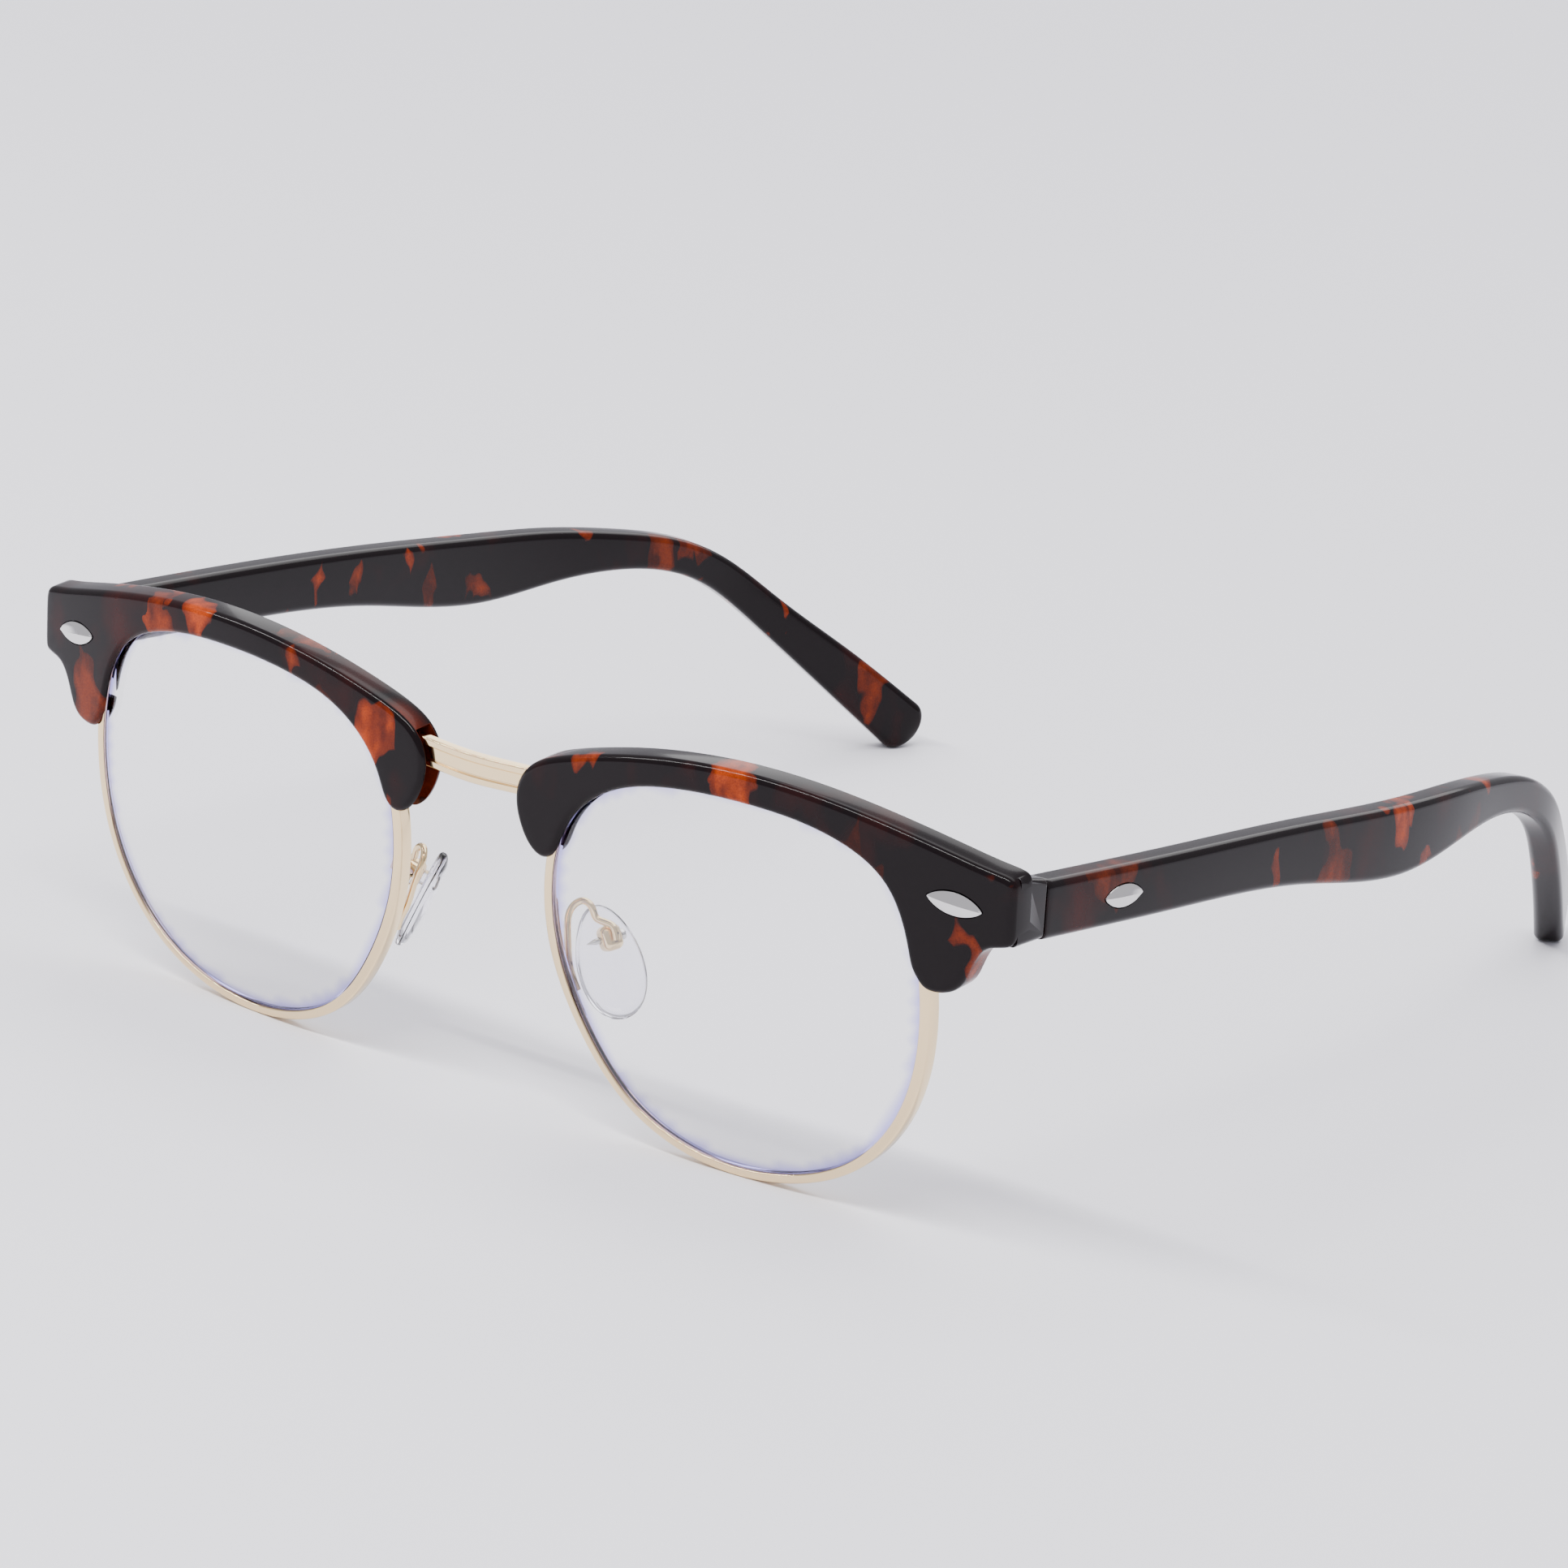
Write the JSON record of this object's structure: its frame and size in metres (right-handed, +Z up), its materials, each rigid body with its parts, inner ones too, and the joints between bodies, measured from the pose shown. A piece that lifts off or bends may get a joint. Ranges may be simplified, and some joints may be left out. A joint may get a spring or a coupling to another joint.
{
  "type": "browline eyeglasses",
  "caption": "Browline eyeglasses: tortoiseshell acetate brows and folding temples on thin pale gold wire rims, with clear lenses and tilting clear nose pads.",
  "frame": {"origin": "middle of the footprint on the table, with the glasses standing open on the rims and the temple tips", "axes": "+X to the wearer's left, -Y the way the wearer looks, +Y back along the temples, +Z up"},
  "size_m": [0.1472, 0.1548, 0.0497],
  "materials": {
    "tortoise_acetate": "polished near-black acetate with orange-red tortoiseshell patches",
    "gold": "polished pale gold plate",
    "steel": "polished steel",
    "lens": "clear with a violet anti-reflection coating",
    "clear_pad": "clear soft plastic"
  },
  "bodies": {
    "front": {"bridge": "gold", "brow_left": "tortoise_acetate", "brow_right": "tortoise_acetate", "brow_screw_left": "steel", "brow_screw_right": "steel", "front_rivet_left": "steel", "front_rivet_right": "steel", "hinge_front_left": "steel", "hinge_front_right": "steel", "hinge_screw_left": "steel", "hinge_screw_right": "steel", "lens_left": "lens", "lens_right": "lens", "pad_arm_left": "gold", "pad_arm_right": "gold", "pad_box_left": "gold", "pad_box_right": "gold", "pad_screw_left": "steel", "pad_screw_right": "steel", "rim_left": "gold", "rim_lock_lower_left": "gold", "rim_lock_lower_right": "gold", "rim_lock_upper_left": "gold", "rim_lock_upper_right": "gold", "rim_right": "gold", "rim_screw_left": "steel", "rim_screw_right": "steel"},
    "temple_left": {"temple_left": "tortoise_acetate", "hinge_temple_left": "steel", "temple_rivet_left": "steel"},
    "temple_right": {"temple_right": "tortoise_acetate", "hinge_temple_right": "steel", "temple_rivet_right": "steel"},
    "pad_left": {"nose_pad_left": "clear_pad"},
    "pad_right": {"nose_pad_right": "clear_pad"}
  },
  "joints": [
    {"name": "temple_left_fold", "type": "hinge", "parent": "front", "child": "temple_left", "pos_m": [0.0666, -0.06402, 0.03928], "axis": [0, 0, 1], "range_deg": [0, 84]},
    {"name": "temple_right_fold", "type": "hinge", "parent": "front", "child": "temple_right", "pos_m": [-0.0666, -0.06402, 0.03928], "axis": [0, 0, -1], "range_deg": [0, 74]},
    {"name": "pad_left_tilt", "type": "hinge", "parent": "front", "child": "pad_left", "pos_m": [0.015, -0.06794, 0.02228], "axis": [0.4145, 0.8899, 0.1902], "range_deg": [-8, 8]},
    {"name": "pad_right_tilt", "type": "hinge", "parent": "front", "child": "pad_right", "pos_m": [-0.015, -0.06794, 0.02228], "axis": [0.4145, -0.8899, -0.1902], "range_deg": [-8, 8]}
  ]
}
